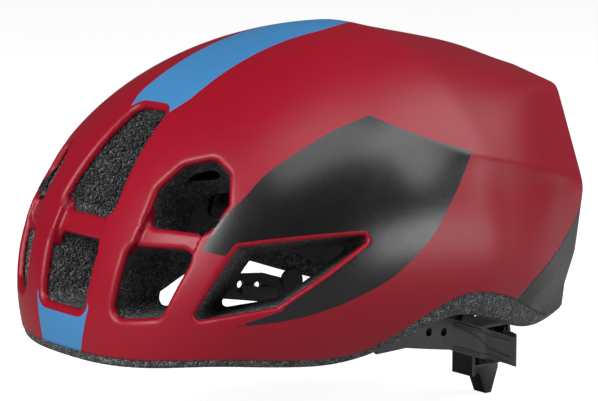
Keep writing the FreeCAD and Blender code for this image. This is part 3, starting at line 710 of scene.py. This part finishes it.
def woven(name, tone, across_scale, along_scale):
    """Woven tape or knit: two crossed sets of ribs with fuzz, as colour, sheen and bump."""
    made, tree, shader = material(name)
    waves = []
    for direction, scale in (("X", across_scale), ("Z", along_scale), ("Y", along_scale)):
        inputs = {"Scale": scale, "Distortion": 1.2, "Detail": 2.0, "Detail Scale": 3.0}
        wave = node(tree, "TexWave", inputs, bands_direction=direction)
        tree.links.new(place(tree), wave.inputs["Vector"])
        waves.append(wave.outputs["Fac"])
    first = node(tree, "Math", operation="MULTIPLY")
    tree.links.new(waves[0], first.inputs[0])
    tree.links.new(waves[1], first.inputs[1])
    both = node(tree, "Math", operation="MAXIMUM")
    tree.links.new(first.outputs[0], both.inputs[0])
    tree.links.new(waves[2], both.inputs[1])
    dark, light = tones(tone, 0.45, 1.5)
    tree.links.new(ramp(tree, both.outputs[0], [(0.2, dark), (0.9, light)]), shader.inputs["Base Color"])
    tree.links.new(spread(tree, noise(tree, 500.0), 0.75, 0.95), shader.inputs["Roughness"])
    bump(tree, shader, both.outputs[0], 0.6, 0.0003)
    shader.inputs["Sheen Weight"].default_value = 0.35
    shader.inputs["Sheen Roughness"].default_value = 0.5
    return made


RED = paint("lacquer_red", (0.240, 0.0006, 0.0105), (0.275, 0.0009, 0.0135), 0.38, 0.10, 0.34)
BLUE = paint("lacquer_blue", (0.040, 0.185, 0.400), (0.050, 0.210, 0.450), 0.38, 0.10, 0.34)
BLACK = paint("lacquer_black", (0.0035, 0.0036, 0.004), (0.005, 0.005, 0.0055), 0.27, 0.06, 0.5)
FOAM = foam_material()
NYLON = plastic("nylon_black", (0.018, 0.018, 0.020), 0.42)
ACETAL = plastic("acetal_black", (0.011, 0.011, 0.012), 0.30, 0.15)
RUBBER = plastic("grip_rubber", (0.020, 0.020, 0.021), 0.72, 0.4, 900.0)
STEEL = plastic("screw_steel", (0.42, 0.42, 0.44), 0.32, 0.1, metallic=1.0)
WEBBING = woven("webbing", (0.040, 0.040, 0.044), 260.0, 420.0)
KNIT = woven("pad_knit", (0.055, 0.057, 0.062), 380.0, 380.0)
HOOK = plastic("hook_tape", (0.014, 0.014, 0.015), 0.85, 0.9, 1800.0)

# ---- shell, tail and liner

GRID = 1.35
FIELD_LOW = (-112, -141, -10)
FIELD_HIGH = (112, 137, 143)
SHELL_WALL = 1.0
WALL_GAP = 0.15          # between the shell and the foam under it
LEDGE = 0.45             # the foam sits this far below the paint where they meet
BODY_OF = {name: rides for rides, names in frame["record"]["behaviour"]["bodies"].items() for name in names}


def stands_for(piece, node_name):
    """The piece takes the CAD node's place on its body."""
    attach(piece, BODY_OF[node_name])
    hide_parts(node_name)


def built(name, points, faces, indices=None, materials=()):
    """A smooth-shaded mesh object from millimetre points."""
    used = np.unique(faces)
    lookup = np.zeros(len(points), int)
    lookup[used] = np.arange(len(used))
    faces = lookup[faces]
    mesh = bpy.data.meshes.new(name)
    mesh.vertices.add(len(used))
    mesh.vertices.foreach_set("co", (points[used] * MM).ravel())
    mesh.loops.add(faces.size)
    mesh.loops.foreach_set("vertex_index", faces.ravel().astype(np.int32))
    mesh.polygons.add(len(faces))
    mesh.polygons.foreach_set("loop_start", np.arange(len(faces), dtype=np.int32) * faces.shape[1])
    for made in materials:
        mesh.materials.append(made)
    if indices is not None:
        mesh.polygons.foreach_set("material_index", indices.astype(np.int32))
    mesh.update(calc_edges=True)
    mesh.validate()
    mesh.shade_smooth()
    piece = bpy.data.objects.new(name, mesh)
    bpy.context.scene.collection.objects.link(piece)
    return piece


def make_body():
    """The painted shell, the tail cover and the foam liner."""
    points, quads = meshed(body, FIELD_LOW, FIELD_HIGH, GRID)
    points, normals = settled(body, points, quads)
    tris = triangles(points, quads)
    columns = np.concatenate([points, normals, borders(points)], 1)
    for which in range(6, 10):
        columns, tris = split(columns, tris, which)
    points, normals, values = columns[:, :3], columns[:, 3:6], columns[:, 6:]
    shell, tail, blue, panel = (values[tris].sum(1) > 0).T
    normals = normals / np.clip(np.linalg.norm(normals, axis=1), 0.2, None)[:, None]
    main = shell & ~tail
    colour = np.where(panel, 2, np.where(blue, 1, 0))
    cover = built("shell_skin", points, tris[main], colour[main], (RED, BLUE, BLACK))
    rear = built("tail_skin", points, tris[shell & tail], None, (BLACK,))
    for piece, name, slot in ((cover, "outer_shell", "shell_red"), (rear, "tail_shell", "shell_black")):
        wall = piece.modifiers.new("wall", "SOLIDIFY")
        wall.thickness = SHELL_WALL * MM
        wall.offset = -1
        stands_for(piece, name)
    under = np.zeros(len(points))
    under[np.unique(tris[shell])] = SHELL_WALL + WALL_GAP
    under[np.unique(tris[~shell])] = LEDGE
    foam = built("foam_liner", points - normals * under[:, None], tris, None, (FOAM,))
    stands_for(foam, "eps_liner")


make_body()

# ---- CAD nodes that show as they are

NODE_MATERIALS = {
    "headband_plugs": ACETAL, "buckle_socket": ACETAL, "buckle_plug": ACETAL, "cradle_front": NYLON,
    "cradle_rear": NYLON, "pinion": ACETAL, "dial": ACETAL, "dial_screw": STEEL, "pad_hook_dots": HOOK,
    "arm_left": NYLON, "arm_right": NYLON,
}
for name, finish in NODE_MATERIALS.items():
    slots = frame["nodes"][name].data.materials
    for index in range(len(slots)):
        slots[index] = finish

def edited(piece, change):
    """Runs a bmesh change on a piece's mesh."""
    work = bmesh.new()
    work.from_mesh(piece.data)
    change(work)
    work.to_mesh(piece.data)
    work.free()
    piece.data.update()


def applied(piece):
    """The piece's mesh with all its modifiers made part of it."""
    bpy.context.view_layer.update()
    made = bpy.data.meshes.new_from_object(piece.evaluated_get(bpy.context.evaluated_depsgraph_get()))
    piece.modifiers.clear()
    piece.data = made


def copied(name, node_name, finish):
    """A new piece with the mesh of a CAD node."""
    piece = bpy.data.objects.new(name, frame["nodes"][node_name].data.copy())
    bpy.context.scene.collection.objects.link(piece)
    piece.data.materials.clear()
    piece.data.materials.append(finish)
    edited(piece, lambda work: bmesh.ops.remove_doubles(work, verts=work.verts, dist=2e-6))
    return piece


# ---- pads

PAD_VOXEL = 1.9
PAD_INSET = 0.9          # how far a pad is taken in before it is blown up
PAD_CAP = 1.4            # no point of the cloth moves further than this
PAD_PRESSURE = 4
CLOTH_FRAMES = 20
SEAM_WIDTH = 1.0
SEAM_DEPTH = 0.55
# how full each pad is for its size
PADS = {"brow_pad": 0.7, "crown_pad": 0.6, "side_pad_left": 0.6, "side_pad_right": 0.6,
        "arm_pad_left": 0.6, "arm_pad_right": 0.6}
# the distance between the channels sewn across a pad
CHANNEL_PITCH = {"crown_pad": 17.0, "side_pad_left": 16.0, "side_pad_right": 16.0, "brow_pad": 19.0}


def spots_and_normals(mesh):
    """A mesh's vertices in millimetres and their normals."""
    spots = np.empty(len(mesh.vertices) * 3)
    mesh.vertices.foreach_get("co", spots)
    normals = np.empty(len(spots))
    mesh.vertex_normals.foreach_get("vector", normals)
    return spots.reshape(-1, 3) / MM, normals.reshape(-1, 3)


def move_to(mesh, spots):
    """Puts a mesh's vertices at places in millimetres."""
    mesh.vertices.foreach_set("co", (spots * MM).ravel())
    mesh.update()


def sewn(mesh, name):
    """Pulls a pad's cloth in along its sewn channels."""
    pitch = CHANNEL_PITCH.get(name)
    if not pitch:
        return
    spots, normals = spots_and_normals(mesh)
    run = spots[:, 0] if name == "brow_pad" else spots[:, 1]
    middle = (run.min() + run.max()) / 2
    off = np.abs((run - middle + pitch / 2) % pitch - pitch / 2)
    ends = np.minimum(run - run.min(), run.max() - run)
    dip = SEAM_DEPTH * np.exp(-(off / SEAM_WIDTH) ** 2) * smooth_step(4.0, 8.0, ends)
    move_to(mesh, spots - normals * dip[:, None])


def swollen_pads():
    """Each pad's CAD solid taken in a little, remeshed and blown up as cloth, then sewn across."""
    made = []
    for name in PADS:
        pad = copied(name + "_cloth", name, KNIT)
        remesh = pad.modifiers.new("grid", "REMESH")
        remesh.mode = "VOXEL"
        remesh.voxel_size = PAD_VOXEL * MM
        applied(pad)
        pad.data.materials.clear()
        pad.data.materials.append(KNIT)
        relax = pad.modifiers.new("relax", "SMOOTH")
        relax.factor = 0.6
        relax.iterations = 3
        applied(pad)
        spots, normals = spots_and_normals(pad.data)
        rest = spots - normals * PAD_INSET
        move_to(pad.data, rest)
        cloth = pad.modifiers.new("Cloth", "CLOTH")
        cloth.settings.use_pressure = True
        cloth.settings.uniform_pressure_force = PAD_PRESSURE
        cloth.settings.quality = 5
        cloth.settings.effector_weights.gravity = 0
        cloth.point_cache.frame_start = 1
        cloth.point_cache.frame_end = CLOTH_FRAMES
        made.append((pad, name, rest))
    for number in range(1, CLOTH_FRAMES + 1):
        bpy.context.scene.frame_set(number)
    for pad, name, rest in made:
        applied(pad)
        move = spots_and_normals(pad.data)[0] - rest
        far = np.linalg.norm(move, axis=1)
        move *= (np.minimum(far, PAD_CAP) / np.clip(far, 1e-6, None))[:, None]
        move_to(pad.data, rest + move)
        finer = pad.modifiers.new("finer", "SUBSURF")
        finer.levels = finer.render_levels = 1
        applied(pad)
        sewn(pad.data, name)
        pad.data.shade_smooth()
        stands_for(pad, name)
    bpy.context.scene.frame_set(1)


swollen_pads()

# ---- straps

STRAP_WIDE = 15.0
STRAP_THICK = 1.4
STRAP_OFF = 2.0          # gap between the strap and the foam
STITCH_OFF = 5.3         # from the strap's middle to each row of stitches
STITCH_RUN = 3.0
STITCH_HIGH = 0.16
STITCH_WIDE = 0.5
SELVEDGE = 1.2           # how far in from its edge the tape thins
GROOVE_DEEP = 0.1        # the groove along the tape's middle
GROOVE_WIDE = 0.6
TAPE_COLUMNS = 31


def tube_quads(rows, loop):
    """The side faces of a tube, from its number of rings and of points in each."""
    return [(row * loop + step, row * loop + (step + 1) % loop,
             (row + 1) * loop + (step + 1) % loop, (row + 1) * loop + step)
            for row in range(rows - 1) for step in range(loop)]


def wall_spot(y, z):
    """A point on the head space's wall on the left side, and its normal towards the head."""
    spot = np.array([0.0, y - CAVITY_AT[1], max(z - CAVITY_AT[2], 0.0)]) / CAVITY_HALF
    across = CAVITY_HALF[0] * math.sqrt(max(1 - spot @ spot, 0.0))
    point = np.array([across, y, z])
    normal = np.array([across, y - CAVITY_AT[1], max(z - CAVITY_AT[2], 0.0)]) / CAVITY_HALF ** 2
    return point, -normal / np.linalg.norm(normal)


def strap(name, start, end, side, rows):
    """A stitched woven tape lying along the head space's wall, with rounded selvedges."""
    middles, inwards = [], []
    for y, z in np.linspace(start, end, rows):
        point, inward = wall_spot(y, z)
        middles.append(point + inward * (STRAP_OFF + STRAP_THICK / 2))
        inwards.append(inward)
    middles, inwards = np.array(middles), np.array(inwards)
    ahead = np.gradient(middles, axis=0)
    ahead /= np.linalg.norm(ahead, axis=1)[:, None]
    across = np.cross(ahead, inwards)
    across /= np.linalg.norm(across, axis=1)[:, None]
    gone = np.concatenate([[0], np.cumsum(np.linalg.norm(np.diff(middles, axis=0), axis=1))])
    offs = np.linspace(-1, 1, TAPE_COLUMNS) * STRAP_WIDE / 2
    edge = 1 - np.clip((np.abs(offs) - STRAP_WIDE / 2 + SELVEDGE) / SELVEDGE, 0, 1) ** 2
    half = STRAP_THICK / 2 * np.sqrt(np.clip(edge, 0.02, 1))
    points = []
    for middle, inward, sideways, length in zip(middles, inwards, across, gone):
        stitch = STITCH_HIGH * max(0.0, math.sin(2 * math.pi * length / STITCH_RUN))
        high = half + stitch * np.exp(-((np.abs(offs) - STITCH_OFF) / STITCH_WIDE) ** 2)
        high -= GROOVE_DEEP * np.exp(-(offs / GROOVE_WIDE) ** 2)
        for face in (1, -1):
            points.append(middle + sideways * offs[::face, None] + inward * face * high[::face, None])
    loop = 2 * len(offs)
    points = np.concatenate(points) * [side, 1, 1]
    quads = tube_quads(rows, loop)
    for row in (0, rows - 1):
        for step in range(len(offs) - 1):
            cap = (row * loop + step, row * loop + step + 1, row * loop + loop - 2 - step,
                   row * loop + loop - 1 - step)
            quads.append(cap if row == 0 else cap[::-1])
    piece = built(name, points, np.array(quads), None, (WEBBING,))
    edited(piece, lambda work: bmesh.ops.recalc_face_normals(work, faces=work.faces))
    return piece


# each tape: its ends as stations and heights, and the number of rows along it
TAPES = {"front": ((-52, 14.2), (-5, 43), 76), "rear": ((60, 16.2), (13, 43), 76),
         "chin": ((4, 56.2), (4, 93.5), 90)}
for side, suffix in ((1, "left"), (-1, "right")):
    for kind, (start, end, rows) in TAPES.items():
        tape = strap(kind + "_tape_" + suffix, start, end, side, rows)
        stands_for(tape, kind + "_strap_" + suffix)

# ---- eased plastic parts

EASE = 0.4
FLAT_ANGLE = math.radians(1.5)            # faces that meet at less than this are joined
EASED_ANGLE = math.radians(38)            # edges sharper than this are eased
EASED_NODES = {
    "headband": NYLON, "strap_anchors": NYLON, "divider_left": ACETAL, "divider_right": ACETAL,
    "divider_lever_left": ACETAL, "divider_lever_right": ACETAL, "dial_grip": RUBBER,
    "cradle_mast": NYLON, "mast_clip": NYLON, "nape_prop": NYLON,
}
for name, finish in EASED_NODES.items():
    piece = copied(name + "_eased", name, finish)
    edited(piece, lambda work: bmesh.ops.dissolve_limit(work, angle_limit=FLAT_ANGLE, verts=work.verts,
                                                        edges=work.edges))
    ease = piece.modifiers.new("ease", "BEVEL")
    ease.width = EASE * MM
    ease.segments = 2
    ease.limit_method = "ANGLE"
    ease.angle_limit = EASED_ANGLE
    applied(piece)
    piece.data.shade_smooth()
    stands_for(piece, name)

# ---- ribs on the band arms

# the upper and lower edges of a band arm in side view
ARM_HIGH = [(16, 7), (28, 6), (57, -3.5), (84, -13), (100, -18.5)]
ARM_LOW = [(16, -6.5), (28, -9), (57, -19), (84, -27), (103, -34)]
# each rib: share of the arm's height at its front and rear ends, and how round it is
RIBS = ((0.88, 0.88, 0.8), (0.12, 0.12, 0.8), (0.78, 0.30, 0.6))
RIB_STATIONS = (30.0, 97.0)
RIB_ROWS = 40
TIP_SHARE = 0.08         # how thick a rib's ends are, as a share of its thickness


def arm_point(tree, side, y, level):
    """A spot on the arm's outer face at a station and a share of its height."""
    z = along(ARM_LOW, y) * (1 - level) + along(ARM_HIGH, y) * level
    spot = tree.ray_cast(Vector((side * 120, y, z)) * MM, Vector((-side, 0, 0)))[0]
    return np.array(spot) / MM


def tube(centres, radius, around=8):
    """Points and quads of a round bar that tapers shut at both ends."""
    centres = np.array(centres)
    ahead = np.gradient(centres, axis=0)
    ahead /= np.linalg.norm(ahead, axis=1)[:, None]
    sideways = np.cross(ahead, [1.0, 0.2, 0.1])
    sideways /= np.linalg.norm(sideways, axis=1)[:, None]
    upwards = np.cross(sideways, ahead)
    radii = np.full(len(centres), radius)
    radii[[0, -1]] = radius * TIP_SHARE
    turn = np.arange(around) / around * 2 * math.pi
    rings = (centres[:, None] + radii[:, None, None]
             * (sideways[:, None] * np.cos(turn)[:, None] + upwards[:, None] * np.sin(turn)[:, None]))
    return rings.reshape(-1, 3), np.array(tube_quads(len(centres), around))


def make_ribs():
    """The moulded ribs along each band arm's outer face."""
    for side, suffix in ((1, "left"), (-1, "right")):
        mesh = frame["nodes"]["arm_" + suffix].data
        tree = BVHTree.FromPolygons([vertex.co for vertex in mesh.vertices],
                                    [face.vertices for face in mesh.polygons])
        stations = np.linspace(*RIB_STATIONS, RIB_ROWS)
        shares = smooth_step(*RIB_STATIONS, stations)
        points, quads, total = [], [], 0
        for front_level, rear_level, radius in RIBS:
            centres = [arm_point(tree, side, y, front_level + share * (rear_level - front_level))
                       for y, share in zip(stations, shares)]
            fresh, faces = tube(centres, radius)
            points.append(fresh)
            quads.append(faces + total)
            total += len(fresh)
        ribs = built("arm_ribs_" + suffix, np.concatenate(points), np.concatenate(quads), None, (NYLON,))
        edited(ribs, lambda work: bmesh.ops.recalc_face_normals(work, faces=work.faces))
        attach(ribs, "band_" + suffix)


make_ribs()

# ---- studio

AIM = Vector((0.0, -4.2, 55.0)) * MM
CAMERA_TURN = math.radians(52)
CAMERA_LIFT = math.radians(9)
CAMERA_FAR = 1134 * MM
BOX_FAR = 1500 * MM


def away(turn, lift):
    """The direction from the helmet out towards a place at that azimuth and elevation."""
    return Vector((math.sin(turn) * math.cos(lift), -math.cos(turn) * math.cos(lift), math.sin(lift)))


def aimed(thing, spot):
    """Puts a camera or light at a place, pointing at the helmet."""
    thing.location = spot
    thing.rotation_euler = (AIM - spot).to_track_quat("-Z", "Y").to_euler()
    bpy.context.scene.collection.objects.link(thing)


camera = bpy.data.cameras.new("photo_camera")
camera.sensor_width = 36
camera.lens = 144.48
camera.clip_end = 50
photo_camera = bpy.data.objects.new("photo_camera", camera)
aimed(photo_camera, AIM + away(CAMERA_TURN, CAMERA_LIFT) * CAMERA_FAR)
bpy.context.scene.camera = photo_camera


def softbox(name, turn, lift, width, height, power):
    """A rectangular light at an azimuth and elevation in degrees, its size in metres."""
    light = bpy.data.lights.new(name, "AREA")
    light.shape = "RECTANGLE"
    light.size = width
    light.size_y = height
    light.energy = power
    aimed(bpy.data.objects.new(name, light), AIM + away(math.radians(turn), math.radians(lift)) * BOX_FAR)


softbox("front_box", 8, 30, 1.0, 1.0, 27)
softbox("rear_box", 150, 40, 1.1, 0.8, 10)
softbox("top_box", 98, 66, 1.1, 0.8, 8)
softbox("low_box", 126, 4, 1.1, 0.4, 8)

# the world looks white to the camera and lights the helmet only faintly
world = bpy.data.worlds.new("studio")
world.use_nodes = True
sky = world.node_tree
backdrop = sky.nodes["Background"]
backdrop.inputs["Color"].default_value = (1.0, 1.0, 1.0, 1)
seen = node(sky, "LightPath").outputs["Is Camera Ray"]
sky.links.new(spread(sky, seen, 0.08, 1.0), backdrop.inputs["Strength"])
bpy.context.scene.world = world
bpy.context.scene.view_settings.view_transform = "Standard"


FLOOR_SIZE = 6           # half its width, in metres
FLOOR_DROP = 0.5 * MM


def make_floor():
    """A pale flat floor under the helmet, reaching far behind it."""
    mesh = bpy.data.meshes.new("floor")
    ground = bmesh.new()
    bmesh.ops.create_grid(ground, x_segments=1, y_segments=1, size=FLOOR_SIZE)
    ground.to_mesh(mesh)
    ground.free()
    floor = bpy.data.objects.new("floor", mesh)
    floor.location = (0, 0, FLOOR_Z - FLOOR_DROP)
    made, tree, shader = material("pale_floor")
    tree.links.new(ramp(tree, noise(tree, 3.0), [(0.3, (0.36, 0.36, 0.36)), (0.7, (0.39, 0.39, 0.39))]),
                   shader.inputs["Base Color"])
    shader.inputs["Roughness"].default_value = 0.9
    shader.inputs["Specular IOR Level"].default_value = 0.0
    shader.inputs["Emission Color"].default_value = (1, 1, 1, 1)
    glow = spread(tree, node(tree, "LightPath").outputs["Is Camera Ray"], 0.0, 0.90)
    tree.links.new(glow, shader.inputs["Emission Strength"])
    mesh.materials.append(made)
    bpy.context.scene.collection.objects.link(floor)


make_floor()
